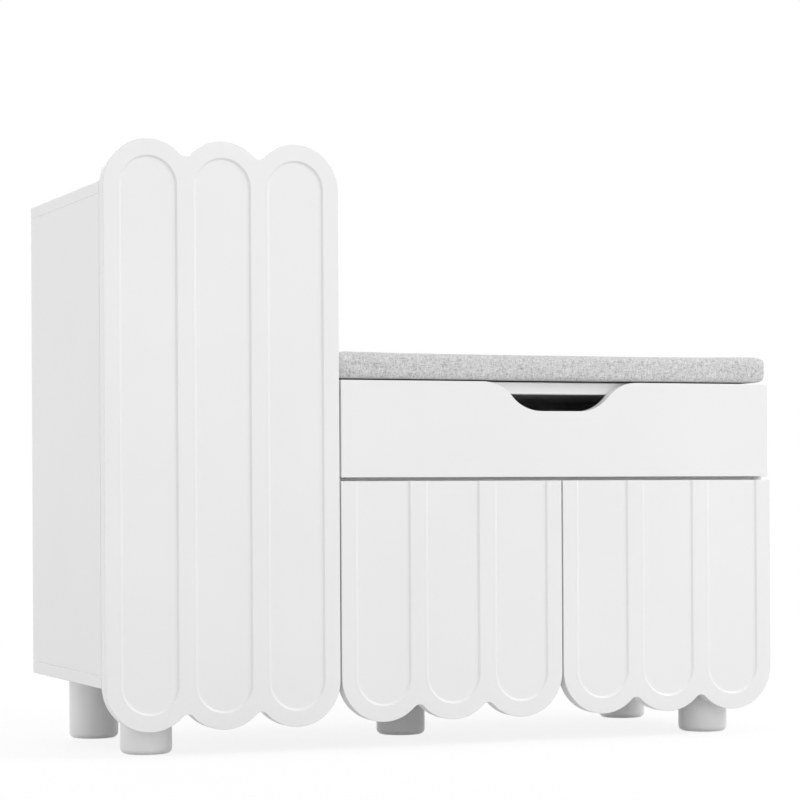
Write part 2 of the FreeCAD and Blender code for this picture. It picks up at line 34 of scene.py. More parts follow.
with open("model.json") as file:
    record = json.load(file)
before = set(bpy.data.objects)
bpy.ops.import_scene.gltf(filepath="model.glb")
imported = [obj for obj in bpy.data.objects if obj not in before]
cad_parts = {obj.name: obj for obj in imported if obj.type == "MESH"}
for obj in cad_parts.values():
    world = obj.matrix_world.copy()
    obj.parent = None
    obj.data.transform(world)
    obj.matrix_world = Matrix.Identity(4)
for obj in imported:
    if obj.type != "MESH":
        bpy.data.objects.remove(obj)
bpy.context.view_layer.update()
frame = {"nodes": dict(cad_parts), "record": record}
nodes = frame["nodes"]
print("frame loaded,", len(nodes), "nodes")


# Materials: each reads Object coordinates in metres, or the pad's own UV map.

def newMaterial(name, color, roughness):
    mat = bpy.data.materials.new(name)
    mat.use_nodes = True
    mat.diffuse_color = (*color, 1.0)
    shader = mat.node_tree.nodes["Principled BSDF"]
    shader.inputs["Base Color"].default_value = (*color, 1.0)
    shader.inputs["Roughness"].default_value = roughness
    return mat, mat.node_tree, shader


def addNode(tree, kind, **values):
    node = tree.nodes.new(kind)
    for key, value in values.items():
        if key in node.inputs:
            node.inputs[key].default_value = value
        else:
            setattr(node, key, value)
    return node


def objectSpace(tree, scale):
    # Object coordinates, stretched per axis
    coords = addNode(tree, "ShaderNodeTexCoord")
    mapping = addNode(tree, "ShaderNodeMapping", Scale=scale)
    tree.links.new(coords.outputs["Object"], mapping.inputs["Vector"])
    return mapping.outputs["Vector"]


def noiseOn(tree, vector, scale, detail=3.0, rough=0.5):
    noise = addNode(tree, "ShaderNodeTexNoise", Scale=scale, Detail=detail, Roughness=rough)
    tree.links.new(vector, noise.inputs["Vector"])
    return noise.outputs["Fac"]


def rampOf(tree, factor, *stops):
    ramp = addNode(tree, "ShaderNodeValToRGB")
    elements = ramp.color_ramp.elements
    while len(elements) < len(stops):
        elements.new(0.5)
    for element, (place, color) in zip(elements, stops):
        element.position = place
        element.color = (*color, 1.0)
    tree.links.new(factor, ramp.inputs["Fac"])
    return ramp.outputs["Color"]


def rangeOf(tree, factor, low, high):
    # Maps 0..1 to low..high
    node = addNode(tree, "ShaderNodeMapRange")
    node.inputs["To Min"].default_value = low
    node.inputs["To Max"].default_value = high
    tree.links.new(factor, node.inputs["Value"])
    return node.outputs["Result"]


def bumpFrom(tree, shader, height, strength, distance):
    bump = addNode(tree, "ShaderNodeBump", Strength=strength, Distance=distance)
    tree.links.new(height, bump.inputs["Height"])
    tree.links.new(bump.outputs["Normal"], shader.inputs["Normal"])


def grey(value, warm=0.0):
    return (value + warm, value, value - warm)


def colorBy(tree, shader, factor, *stops):
    tree.links.new(rampOf(tree, factor, *stops), shader.inputs["Base Color"])


def driftingWhite(name, look):
    # White that changes a little in tone and in shine from place to place
    mat, tree, shader = newMaterial(name, grey(look["color"]), look["roughness"])
    space = objectSpace(tree, (1, 1, 1))
    low, high = look["color"] - look["drift"], look["color"] + look["drift"]
    tone = noiseOn(tree, space, look["driftScale"])
    colorBy(tree, shader, tone, (0.3, grey(low)), (0.7, grey(high, 0.002)))
    shine = noiseOn(tree, space, look["shineScale"])
    tree.links.new(rangeOf(tree, shine, *look["shine"]), shader.inputs["Roughness"])
    return mat, tree, shader


lacquer = {"color": 0.86, "roughness": 0.36, "drift": 0.012, "driftScale": 5.0, "shine": (0.30, 0.42),
           "shineScale": 38.0, "coat": 0.12, "coatRoughness": 0.25, "peelScale": 420.0, "peelStrength": 0.22,
           "peelDepth": 0.00004}


def makeLacquer():
    # Sprayed satin lacquer with orange peel
    mat, tree, shader = driftingWhite("satinLacquer", lacquer)
    shader.inputs["Coat Weight"].default_value = lacquer["coat"]
    shader.inputs["Coat Roughness"].default_value = lacquer["coatRoughness"]
    peel = noiseOn(tree, objectSpace(tree, (1, 1, 1)), lacquer["peelScale"], 2.0)
    bumpFrom(tree, shader, peel, lacquer["peelStrength"], lacquer["peelDepth"])
    return mat


melamine = {"color": 0.87, "roughness": 0.5, "drift": 0.010, "driftScale": 4.0, "shine": (0.42, 0.56),
            "shineScale": 60.0, "poreStretch": (420.0, 420.0, 60.0), "poreScale": 2.2, "poreStrength": 0.16,
            "poreDepth": 0.00005}


def makeMelamine():
    # White foil on board: short pressed pores that run up the board
    mat, tree, shader = driftingWhite("whiteMelamine", melamine)
    pores = noiseOn(tree, objectSpace(tree, melamine["poreStretch"]), melamine["poreScale"], 4.0)
    bumpFrom(tree, shader, pores, melamine["poreStrength"], melamine["poreDepth"])
    return mat


hardboard = {"color": 0.80, "low": 0.77, "high": 0.82, "roughness": 0.62, "toneScale": 9.0,
             "toothScale": 700.0, "toothStrength": 0.3, "toothDepth": 0.00008}


def makeHardboard():
    # Painted thin board: a fine felted tooth
    color = grey(hardboard["color"], 0.004)
    mat, tree, shader = newMaterial("paintedHardboard", color, hardboard["roughness"])
    space = objectSpace(tree, (1, 1, 1))
    tone = noiseOn(tree, space, hardboard["toneScale"], 5.0)
    colorBy(tree, shader, tone, (0.25, grey(hardboard["low"], 0.006)), (0.75, grey(hardboard["high"], 0.004)))
    tooth = noiseOn(tree, space, hardboard["toothScale"], 3.0)
    bumpFrom(tree, shader, tooth, hardboard["toothStrength"], hardboard["toothDepth"])
    return mat


zinc = {"color": 0.62, "low": 0.52, "high": 0.68, "roughness": 0.34, "cloudScale": 90.0,
        "streakStretch": (1400, 90, 1400), "shine": (0.26, 0.46), "streakStrength": 0.12,
        "streakDepth": 0.00003}


def makeZinc():
    # Zinc plate: brushed streaks and a cloudy tone
    mat, tree, shader = newMaterial("zincPlate", grey(zinc["color"], -0.005), zinc["roughness"])
    shader.inputs["Metallic"].default_value = 1.0
    cloud = noiseOn(tree, objectSpace(tree, (1, 1, 1)), zinc["cloudScale"], 4.0)
    colorBy(tree, shader, cloud, (0.3, grey(zinc["low"], -0.006)), (0.7, grey(zinc["high"], -0.004)))
    streaks = noiseOn(tree, objectSpace(tree, zinc["streakStretch"]), 1.0, 2.0)
    tree.links.new(rangeOf(tree, streaks, *zinc["shine"]), shader.inputs["Roughness"])
    bumpFrom(tree, shader, streaks, zinc["streakStrength"], zinc["streakDepth"])
    return mat


plastic = {"color": 0.82, "low": 0.79, "high": 0.84, "roughness": 0.45, "toneScale": 60.0,
           "grainScale": 1800.0, "grainStrength": 0.25, "grainDepth": 0.00004}


def makePlastic():
    # Moulded catch body: fine spark-eroded grain
    mat, tree, shader = newMaterial("mouldedPlastic", grey(plastic["color"]), plastic["roughness"])
    space = objectSpace(tree, (1, 1, 1))
    tone = noiseOn(tree, space, plastic["toneScale"])
    colorBy(tree, shader, tone, (0.3, grey(plastic["low"])), (0.7, grey(plastic["high"])))
    grain = noiseOn(tree, space, plastic["grainScale"], 2.0)
    bumpFrom(tree, shader, grain, plastic["grainStrength"], plastic["grainDepth"])
    return mat


beech = {"color": (0.62, 0.44, 0.28), "dark": (0.50, 0.33, 0.19), "light": (0.68, 0.50, 0.33),
         "roughness": 0.6, "grainStretch": (900, 900, 60), "grainStrength": 0.2, "grainDepth": 0.00006}


def makeBeech():
    # Dowel wood: stretched grain
    mat, tree, shader = newMaterial("rawBeech", beech["color"], beech["roughness"])
    grain = noiseOn(tree, objectSpace(tree, beech["grainStretch"]), 1.0, 4.0)
    colorBy(tree, shader, grain, (0.25, beech["dark"]), (0.75, beech["light"]))
    bumpFrom(tree, shader, grain, beech["grainStrength"], beech["grainDepth"])
    return mat


pile = {"color": 0.05, "loop": 0.10, "gap": 0.02, "roughness": 0.9, "loopScale": 1500.0, "loopStrength": 0.6,
        "loopDepth": 0.0004}


def makeHookAndLoop():
    # Dark looped pile, with painted shade: the colour darkens from each loop out into the gaps between the
    # loops
    mat, tree, shader = newMaterial("hookAndLoop", grey(pile["color"]), pile["roughness"])
    loops = addNode(tree, "ShaderNodeTexVoronoi", Scale=pile["loopScale"])
    tree.links.new(objectSpace(tree, (1, 1, 1)), loops.inputs["Vector"])
    away = loops.outputs["Distance"]
    # painted shade: darker in the gaps between the loops
    colorBy(tree, shader, away, (0.0, grey(pile["loop"])), (0.8, grey(pile["gap"])))
    bumpFrom(tree, shader, away, pile["loopStrength"], pile["loopDepth"])
    return mat


linen = {"yarn": 0.00125, "dark": 0.30, "mid": 0.61, "light": 0.86, "stops": (0.31, 0.47, 0.68),
         "warm": 0.003, "roughness": 0.85, "slubLength": 0.0066, "yarnStride": 7.31, "slubRough": 0.6,
         "slubLift": 0.8, "strength": 0.7, "lift": 0.00024, "sheen": 0.25, "sheenRoughness": 0.5,
         "specular": 0.2}


def makeLinen():
    # Plain weave on the pad's UV map, in metres: warp and weft take turns on top, and each yarn has
    # its own tone with slubs along it, which gives the heathered grey
    mat, tree, shader = newMaterial("greyLinen", grey(linen["mid"]), linen["roughness"])
    links = tree.links
    uv = addNode(tree, "ShaderNodeUVMap", uv_map="cloth")
    split = addNode(tree, "ShaderNodeSeparateXYZ")
    links.new(uv.outputs["UV"], split.inputs["Vector"])

    def math2(kind, a, b=None):
        node = addNode(tree, "ShaderNodeMath", operation=kind)
        for socket, value in zip(node.inputs, (a, b)):
            if value is None:
                continue
            if isinstance(value, float):
                socket.default_value = value
            else:
                links.new(value, socket)
        return node.outputs["Value"]

    def yarns(along, across):
        # Row number of the yarn, its round profile and its slubs
        row = math2("MULTIPLY", across, 1.0 / linen["yarn"])
        index = math2("FLOOR", row)
        wave = math2("ABSOLUTE", math2("SINE", math2("MULTIPLY", row, math.pi)))
        place = addNode(tree, "ShaderNodeCombineXYZ")
        links.new(math2("MULTIPLY", along, 1.0 / linen["slubLength"]), place.inputs["X"])
        links.new(math2("MULTIPLY", index, linen["yarnStride"]), place.inputs["Y"])
        slub = noiseOn(tree, place.outputs["Vector"], 1.0, 2.0, linen["slubRough"])
        return index, wave, slub

    rowU, waveU, slubU = yarns(split.outputs["Y"], split.outputs["X"])
    rowV, waveV, slubV = yarns(split.outputs["X"], split.outputs["Y"])
    turn = math2("MODULO", math2("ABSOLUTE", math2("ADD", rowU, rowV)), 2.0)
    pick = math2("GREATER_THAN", turn, 0.5)

    def choose(a, b):
        mix = addNode(tree, "ShaderNodeMix", data_type="FLOAT")
        links.new(pick, mix.inputs["Factor"])
        links.new(a, mix.inputs["A"])
        links.new(b, mix.inputs["B"])
        return mix.outputs["Result"]

    both = math2("MULTIPLY", math2("ADD", slubU, slubV), 0.5)
    tone = math2("MULTIPLY", math2("ADD", choose(slubU, slubV), both), 0.5)
    tones = (grey(linen["dark"]), grey(linen["mid"], linen["warm"]), grey(linen["light"], linen["warm"]))
    colorBy(tree, shader, tone, *zip(linen["stops"], tones))
    height = math2("ADD", choose(waveU, waveV), math2("MULTIPLY", tone, linen["slubLift"]))
    bumpFrom(tree, shader, height, linen["strength"], linen["lift"])
    shader.inputs["Sheen Weight"].default_value = linen["sheen"]
    shader.inputs["Sheen Roughness"].default_value = linen["sheenRoughness"]
    shader.inputs["Specular IOR Level"].default_value = linen["specular"]
    return mat


finishes = {"white_lacquer": makeLacquer(), "white_board": makeMelamine(), "white_hardboard": makeHardboard(),
            "grey_linen": makeLinen(), "hook_and_loop": makeHookAndLoop(), "zinc_steel": makeZinc(),
            "white_plastic": makePlastic(), "beech": makeBeech()}
slotOf = {part["node"]: part["material_slot"] for part in frame["record"]["subparts"]}


def dress(obj, slot):
    obj.data.materials.clear()
    obj.data.materials.append(finishes[slot])


for nodeName, node in nodes.items():
    dress(node, slotOf[nodeName])
print("materials made:", len(finishes))


# Mesh helpers

def gridFaces(rows, cols, wrap=False):
    # Quads of a grid of points numbered row by row; wrap joins the last column to the first
    i = np.arange(rows - 1)[:, None]
    j = np.arange(cols if wrap else cols - 1)[None, :]
    near, far = i * cols, (i + 1) * cols
    after = (j + 1) % cols
    return np.stack([near + j, near + after, far + after, far + j], -1).reshape(-1, 4)


def asTriangles(faces):
    return faces if faces.shape[1] == 3 else np.concatenate([faces[:, [0, 1, 2]], faces[:, [0, 2, 3]]])


def mergeEqual(points, faces):
    # Points within a micrometre become one
    keys = np.round(points * 1e6).astype(np.int64)
    _, first, same = np.unique(keys, axis=0, return_index=True, return_inverse=True)
    return points[first], same.ravel()[faces]


def weld(parts):
    # Joins parts of (points, faces), merges equal points and drops the faces that close up
    points = np.concatenate([p for p, f in parts])
    starts = np.cumsum([0] + [len(p) for p, f in parts[:-1]])
    faces = np.concatenate([asTriangles(f) + start for (p, f), start in zip(parts, starts)])
    points, faces = mergeEqual(points, faces)
    gaps = faces != np.roll(faces, 1, axis=1)
    return points, faces[gaps.all(axis=1)]


def addMesh(name, points, faces, smooth=True, crease=None):
    # crease is the angle in degrees past which an edge stays sharp
    mesh = bpy.data.meshes.new(name)
    mesh.from_pydata(points.tolist(), [], faces.tolist())
    mesh.polygons.foreach_set("use_smooth", np.full(len(mesh.polygons), smooth))
    mesh.update()
    if crease:
        mesh.set_sharp_from_angle(angle=math.radians(crease))
    obj = bpy.data.objects.new(name, mesh)
    bpy.context.scene.collection.objects.link(obj)
    return obj


def addPiece(name, parts, slot, body, *replaced, crease=38):
    points, faces = weld(parts)
    obj = addMesh(name, points, faces, crease=crease)
    dress(obj, slot)
    if replaced:
        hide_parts(*replaced)
    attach(obj, body)
    return obj


# Lacquered fronts: a rim profile carried along each outline, and flats filled between the loops

panel = {"arcStep": 0.0016, "lineStep": 0.03, "rimSteps": 8, "guard": 0.0004, "ease": 0.0005,
         "holeSegments": 72}


def snap(points):
    # Single precision, so that shared points compare equal
    return np.asarray(points).astype(np.float32).astype(float)


def arcRun(centre, radius, start, stop, inward):
    # Arc points with inward normals, end point left out; inward is -1 on a lobe and 1 in a hollow
    count = max(6, math.ceil(abs(stop - start) * radius / panel["arcStep"]))
    turn = start + (stop - start) * np.arange(count) / count
    ray = np.stack([np.cos(turn), np.sin(turn)], -1)
    return np.array(centre) + radius * ray, inward * ray


def lineRun(start, stop, inward, corner=None):
    # Straight run, end point left out; corner is the mitred normal of its first point
    start, stop = np.array(start), np.array(stop)
    count = max(1, math.ceil(np.linalg.norm(stop - start) / panel["lineStep"]))
    normals = np.tile(np.array(inward, float), (count, 1))
    normals[0] = corner or inward
    return start + (stop - start) * np.arange(count)[:, None] / count, normals


def joinRuns(runs):
    return snap(np.concatenate([p for p, n in runs])), np.concatenate([n for p, n in runs])


def loopEdges(count, start, closed):
    ids = np.arange(count) + start
    edges = np.stack([ids, np.roll(ids, -1)], -1)
    return edges if closed else edges[:-1]


def fillLoops(loops):
    # Triangles between loops of (points, depth, closed); each point keeps its loop's depth
    points = snap(np.concatenate([p for p, depth, closed in loops]))
    depths = np.concatenate([np.full(len(p), depth) for p, depth, closed in loops])
    starts = np.cumsum([0] + [len(p) for p, depth, closed in loops[:-1]])
    edges = np.concatenate([loopEdges(len(p), start, closed)
                            for (p, depth, closed), start in zip(loops, starts)])
    filled = delaunay_2d_cdt(points.tolist(), edges.tolist(), [], 1, 1e-7)
    flat, faces = np.array(filled[0], float), np.array(filled[2])
    _, same = np.unique(np.concatenate([points, flat]), axis=0, return_inverse=True)
    same = same.ravel()
    depthOf = np.zeros(same.max() + 1)
    np.maximum.at(depthOf, same[:len(points)], depths)
    return flat, depthOf[same[len(points):]], faces


def standing(flat, y):
    # Points of the x, z plane set at depth y
    return np.stack([flat[:, 0], np.broadcast_to(y, len(flat)), flat[:, 1]], -1)


def pocketParts(x, z, radius, back, deep):
    # Round blind hole from the back: a wall and a floor
    count = panel["holeSegments"]
    ids = np.arange(count)
    turn = 2 * math.pi * ids / count
    ring = snap(np.stack([x + radius * np.cos(turn), z + radius * np.sin(turn)], -1))
    wall = np.concatenate([standing(ring, back), standing(ring, back - deep)])
    floor = np.concatenate([standing(ring, back - deep), [[x, back - deep, z]]])
    fan = np.stack([np.roll(ids, -1), ids, np.full(count, count)], -1)
    return ring, [(wall, gridFaces(2, count, True)[:, ::-1]), (floor, fan)]


def holedFlat(outline, holes):
    # Triangles inside an outline and outside round holes of (x, z, radius, ring)
    loops = [(outline, 0.0, True)] + [(ring, 0.0, True) for x, z, radius, ring in holes]
    flat, depth, faces = fillLoops(loops)
    middle = flat[faces].mean(axis=1)
    keep = np.ones(len(faces), bool)
    for x, z, radius, ring in holes:
        keep &= np.hypot(middle[:, 0] - x, middle[:, 1] - z) > radius
    return flat, faces[keep]


def panelParts(path, inward, front, back, rim, troughs=(), dip=None, pockets=()):
    # Closed board about an outline: rounded front rim, walls, eased back edge, pockets in the back.
    # dip gives the depth of the face's hollows at each point.
    bend = np.linspace(0, math.pi / 2, panel["rimSteps"] + 1)
    insets = np.append(rim * (1 - np.cos(bend)), rim + panel["guard"])
    depths = np.append(rim * (1 - np.sin(bend)), 0.0)
    loops = [(path + inward * d, depth, True) for d, depth in zip(insets, depths)]
    loops += [(trough, 0.0, closed) for trough, closed in troughs]
    flat, depth, faces = fillLoops(loops)
    if dip:
        depth = np.maximum(depth, dip(flat))
    parts = [(standing(flat, front + depth), faces)]
    ease = panel["ease"]
    lip = np.maximum(rim, dip(path)) if dip else rim
    rings = [standing(path, front + lip), standing(path, back - ease),
             standing(snap(path + inward * ease), back)]
    parts.append((np.concatenate(rings), gridFaces(3, len(path), True)[:, ::-1]))
    holes = []
    for x, z, radius, deep in pockets:
        ring, holeParts = pocketParts(x, z, radius, back, deep)
        holes.append((x, z, radius, ring))
        parts += holeParts
    flat, faces = holedFlat(path + inward * ease, holes)
    parts.append((standing(flat, back), faces[:, ::-1]))
    return parts


# Doors: lobes across, with a round-ended hollow in each

scallop = {"lobes": 3, "overlap": 0.009, "cusp": 0.009, "stile": 0.021, "hollow": 0.002, "bevel": 0.0024,
           "rim": 0.0006, "cupRadius": 0.01745, "cupDepth": 0.01135, "flangeHalf": 0.031}


def lobeRuns(xs, z, pitch, radius, above):
    # Lobes joined by round cusps, left to right below. Above they are the same, turned half round.
    cusp = scallop["cusp"]
    lean = math.acos(pitch / 2 / (radius + cusp))
    drop = (radius + cusp) * math.sin(lean)
    turn, sign = (math.pi, -1) if above else (0.0, 1)
    last = len(xs) - 1
    runs = []
    for i, x in enumerate(xs[::sign]):
        begin = math.pi + (lean if i else 0.0) - turn
        finish = 2 * math.pi - (lean if i < last else 0.0) - turn
        runs.append(arcRun((x, z), radius, begin, finish, -1))
        if i < last:
            apex = (x + sign * pitch / 2, z - sign * drop)
            runs.append(arcRun(apex, cusp, math.pi - lean - turn, lean - turn, 1))
    return runs


def hollowLoop(x, low, high, reach, steps, roundTop):
    # Stadium at a reach from the hollow's middle line, or a U where it runs out at the top
    bend = np.linspace(0, math.pi, steps + 1)
    lower = np.stack([x - reach * np.cos(bend), low - reach * np.sin(bend)], -1)
    rise = np.linspace(low, high, max(2, math.ceil((high - low) / panel["lineStep"])))
    side = rise[1:-1] if roundTop else rise[1:]
    climb = np.stack([np.full(len(side), x + reach), side], -1)
    fall = np.stack([np.full(len(side), x - reach), side[::-1]], -1)
    if roundTop:
        return np.concatenate([lower, climb, np.array([2 * x, low + high]) - lower, fall])
    return np.concatenate([fall, lower, climb])


def makeDoor(name, roundTop):
    (left, front, bottom), (right, back, top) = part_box(name)
    pitch = (right - left - 2 * scallop["overlap"]) / scallop["lobes"]
    radius = pitch / 2 + scallop["overlap"]
    xs = left + radius + pitch * np.arange(scallop["lobes"])
    low, high = bottom + radius, top - radius if roundTop else top
    mouth = (pitch - scallop["stile"]) / 2
    level = mouth - scallop["bevel"]
    reaches = np.array([mouth + panel["guard"], mouth, level, level - panel["guard"]])

    runs = lobeRuns(xs, low, pitch, radius, False)
    runs.append(lineRun((right, low), (right, high), (-1, 0)))
    if roundTop:
        runs += lobeRuns(xs, high, pitch, radius, True)
        runs.append(lineRun((left, high), (left, low), (1, 0)))
    else:
        across = [(xs[:, None] + reaches).ravel(), (xs[:, None] - reaches).ravel(), [right]]
        ends = np.sort(np.concatenate(across))
        edge = np.stack([ends[::-1], np.full(len(ends), top)], -1)
        normals = np.tile((0.0, -1.0), (len(ends), 1))
        normals[0] = (-1, -1)
        runs.append((edge, normals))
        runs.append(lineRun((left, top), (left, low), (1, 0), (1, -1)))
    path, inward = joinRuns(runs)

    def dip(flat):
        # Straight slope down the bevel, by the distance from each hollow's middle line
        x, z = flat[:, 0], flat[:, 1]
        away = np.min([np.hypot(x - mid, z - np.clip(z, low, high)) for mid in xs], axis=0)
        share = np.clip((mouth - away) / scallop["bevel"], 0, 1)
        return scallop["hollow"] * share

    steps = math.ceil(math.pi * mouth / panel["arcStep"])
    troughs = [(hollowLoop(x, low, high, reach, steps, roundTop), roundTop) for x in xs for reach in reaches]
    cupLow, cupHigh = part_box(name.replace("door", "hinge_cups"))
    cupX = (cupLow[0] + cupHigh[0]) / 2
    pockets = [(cupX, z, scallop["cupRadius"], scallop["cupDepth"])
               for z in (cupLow[2] + scallop["flangeHalf"], cupHigh[2] - scallop["flangeHalf"])]
    parts = panelParts(path, inward, front, back, scallop["rim"], troughs, dip, pockets)
    addPiece(name + "_panel", parts, "white_lacquer", name, name)


makeDoor("tall_door", True)
makeDoor("left_door", False)
makeDoor("right_door", False)
print("doors made")


# Drawer front: a board with a finger scoop of two S curves in its top edge

scoop = {"depth": 0.0365, "flat": 0.0535, "mouth": 0.212, "rim": 0.0006}


def makeDrawerFront():
    (left, front, bottom), (right, back, top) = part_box("drawer_front")
    middle = (left + right) / 2
    mouth, flat = scoop["mouth"] / 2, scoop["flat"] / 2
    run, drop = (mouth - flat) / 2, scoop["depth"] / 2
    radius = (run ** 2 + drop ** 2) / (2 * drop)
    turn = math.asin(run / radius)
    low, up = top - scoop["depth"], math.pi / 2
    runs = [lineRun((left, bottom), (right, bottom), (0, 1), (1, 1)),
            lineRun((right, bottom), (right, top), (-1, 0), (-1, 1)),
            lineRun((right, top), (middle + mouth, top), (0, -1), (-1, -1)),
            arcRun((middle + mouth, top - radius), radius, up, up + turn, -1),
            arcRun((middle + flat, low + radius), radius, turn - up, -up, 1),
            lineRun((middle + flat, low), (middle - flat, low), (0, -1)),
            arcRun((middle - flat, low + radius), radius, -up, -up - turn, 1),
            arcRun((middle - mouth, top - radius), radius, up - turn, up, -1),
            lineRun((middle - mouth, top), (left, top), (0, -1)),
            lineRun((left, top), (left, bottom), (1, 0), (1, -1))]
    path, inward = joinRuns(runs)
    addPiece("drawer_front_panel", panelParts(path, inward, front, back, scoop["rim"]), "white_lacquer",
             "drawer", "drawer_front")


makeDrawerFront()
print("drawer front made")


# Hinges: pressed cups with winged flanges, folded arms with two setting screws, and cross-shaped plates

metal = {"gauge": 0.0012, "cupRadius": 0.0174, "cupWall": 0.0012, "cupDepth": 0.0113, "cupRound": 0.003,
         "lipRadius": 0.0183, "wingHalf": 0.0105, "wingReach": 0.031, "wingRound": 0.006, "wingFillet": 0.005,
         "ease": 0.0003, "segments": 72, "roundSteps": 7}
arm = {"noseStart": 0.022, "top": 0.030, "noseReach": 0.007, "root": 0.010, "tail": 0.075, "halfWidth": 0.006,
       "round": 0.0022, "roundSteps": 6, "tipEase": 0.0012, "stepBefore": 0.002, "stepAfter": 0.003,
       "taper": (0.014, 0.004), "taperDrop": (0.0022, 0.0046), "taperIn": (0.0006, 0.0018),
       "tailLift": 0.0004}
setScrew = {"along": (0.036, 0.060), "radius": 0.0034, "height": 0.0009, "dome": 0.3, "segments": 48,
            "rings": (0.0, 0.12, 0.2, 0.3, 0.45, 0.6, 0.72, 0.82, 0.92, 1.0, 1.0, 0.0), "sunk": 0.0002,
            "slotHalf": 0.0006, "slotDepth": 0.0007, "slotReach": 0.66, "slotBlur": 0.35}
plate = {"thickness": 0.0035, "start": 0.028, "length": 0.044, "halfHeight": 0.017, "barHalf": 0.0085,
         "wingHalf": 0.009, "round": 0.0028, "ease": 0.0006}
hinged = {"tall": ("tall_left_side", 1), "left": ("bench_left_side", 1), "right": ("bench_right_side", -1)}


def ringRows(x, z, profile, segments):
    # Profile of (radius, y) carried round an axis that runs front to back
    turn = 2 * math.pi * np.arange(segments) / segments
    rows = [standing(snap(np.stack([x + r * np.cos(turn), z + r * np.sin(turn)], -1)), y)
            for r, y in profile]
    return np.concatenate(rows), gridFaces(len(profile), segments, True)


def wingOutline(x, z):
    # A disc with two round-cornered wings, as one half and the same half turned round
    lip, half, reach = metal["lipRadius"], metal["wingHalf"], metal["wingReach"]
    fillet, corner = metal["wingFillet"], metal["wingRound"]
    aside = half + fillet
    height = math.sqrt((lip + fillet) ** 2 - aside ** 2)
    lean = math.atan2(height, aside)
    inner, top = half - corner, reach - corner
    runs = [arcRun((0, 0), lip, -lean, lean, -1),
            arcRun((aside, height), fillet, lean + math.pi, math.pi, 1),
            lineRun((half, height), (half, top), (-1, 0)),
            arcRun((inner, top), corner, 0, math.pi / 2, -1),
            lineRun((inner, reach), (-inner, reach), (0, -1)),
            arcRun((-inner, top), corner, math.pi / 2, math.pi, -1),
            lineRun((-half, top), (-half, height), (1, 0)),
            arcRun((-aside, height), fillet, 0, -lean, 1)]
    points = np.concatenate([p for p, n in runs])
    inward = np.concatenate([n for p, n in runs])
    return snap(np.concatenate([points, -points]) + (x, z)), np.concatenate([inward, -inward])


def cupParts(x, z, back):
    # Flange and lip on the door's back, a rolled hollow inside, and the cup's outside in its pocket
    path, inward = wingOutline(x, z)
    outer, inner = metal["cupRadius"], metal["cupRadius"] - metal["cupWall"]
    top, bottom = back + metal["gauge"], back - metal["cupDepth"]
    floor, ease, corner = bottom + metal["cupWall"], metal["ease"], metal["cupRound"]
    bend = np.linspace(0, math.pi / 2, metal["roundSteps"])
    rolled = [(inner - corner * (1 - math.sin(b)), floor + corner * (1 - math.cos(b))) for b in bend]
    inside = ringRows(x, z, [(0, floor), *rolled, (inner, top)], metal["segments"])
    outside = ringRows(x, z, [(outer, back), (outer, bottom), (0, bottom)], metal["segments"])
    mouth = inside[0][-metal["segments"]:, ::2]
    seat = outside[0][:metal["segments"], ::2]
    rings = [standing(path, back), standing(path, top - ease), standing(snap(path + inward * ease), top)]
    parts = [inside, outside, (np.concatenate(rings), gridFaces(3, len(path), True)[:, ::-1])]
    flat, faces = holedFlat(path + inward * ease, [(x, z, inner, mouth)])
    parts.append((standing(flat, top), faces[:, ::-1]))
    flat, faces = holedFlat(path, [(x, z, outer, seat)])
    parts.append((standing(flat, back), faces))
    return parts


def armSection(low, high, half, corner):
    # Rounded rectangle, as (distance in from the door's edge, height)
    bend = np.linspace(0, math.pi / 2, arm["roundSteps"])
    quarter = np.stack([np.cos(bend), np.sin(bend)], -1) * corner
    turns = [(high - corner, half - corner, (1, 1)), (low + corner, half - corner, (-1, 1)),
             (low + corner, corner - half, (-1, -1)), (high - corner, corner - half, (1, -1))]
    return np.concatenate([(u, v) + quarter[::a * b] * (a, b) for u, v, (a, b) in turns])


def armParts(edge, inward, root, front, doorBack, z):
    # Sections along the arm: a nose that reaches into the cup, a step down to the plate, a tapered tail
    nose, top, half, corner = arm["noseStart"], arm["top"], arm["halfWidth"], arm["round"]
    tip, step, tail = doorBack - arm["noseReach"], front + arm["root"], front + arm["tail"]
    ease, drop, thin = arm["tipEase"], arm["taperDrop"], arm["taperIn"]
    stations = [(tip, nose + ease, top - ease, half - ease), (tip + ease, nose, top, half),
                (step - arm["stepBefore"], nose, top, half), (step + arm["stepAfter"], root, top, half),
                (tail - arm["taper"][0], root, top, half),
                (tail - arm["taper"][1], root, top - drop[0], half - thin[0]),
                (tail, root + arm["tailLift"], top - drop[1], half - thin[1])]
    rows = []
    for y, low, high, wide in stations:
        section = armSection(low, high, wide, min(corner, (high - low) / 3))
        x = edge + inward * section[:, 0]
        rows.append(np.stack([x, np.full(len(section), y), z + section[:, 1]], -1))
    first, last = [np.broadcast_to(row.mean(axis=0), row.shape) for row in (rows[0], rows[-1])]
    rows = [first, *rows, last]
    faces = gridFaces(len(rows), len(rows[0]), True)
    parts = [(np.concatenate(rows), faces[:, ::-1] if inward > 0 else faces)]
    for along in setScrew["along"]:
        parts.append(screwHead(edge + inward * top, front + along, z, inward))
    return parts


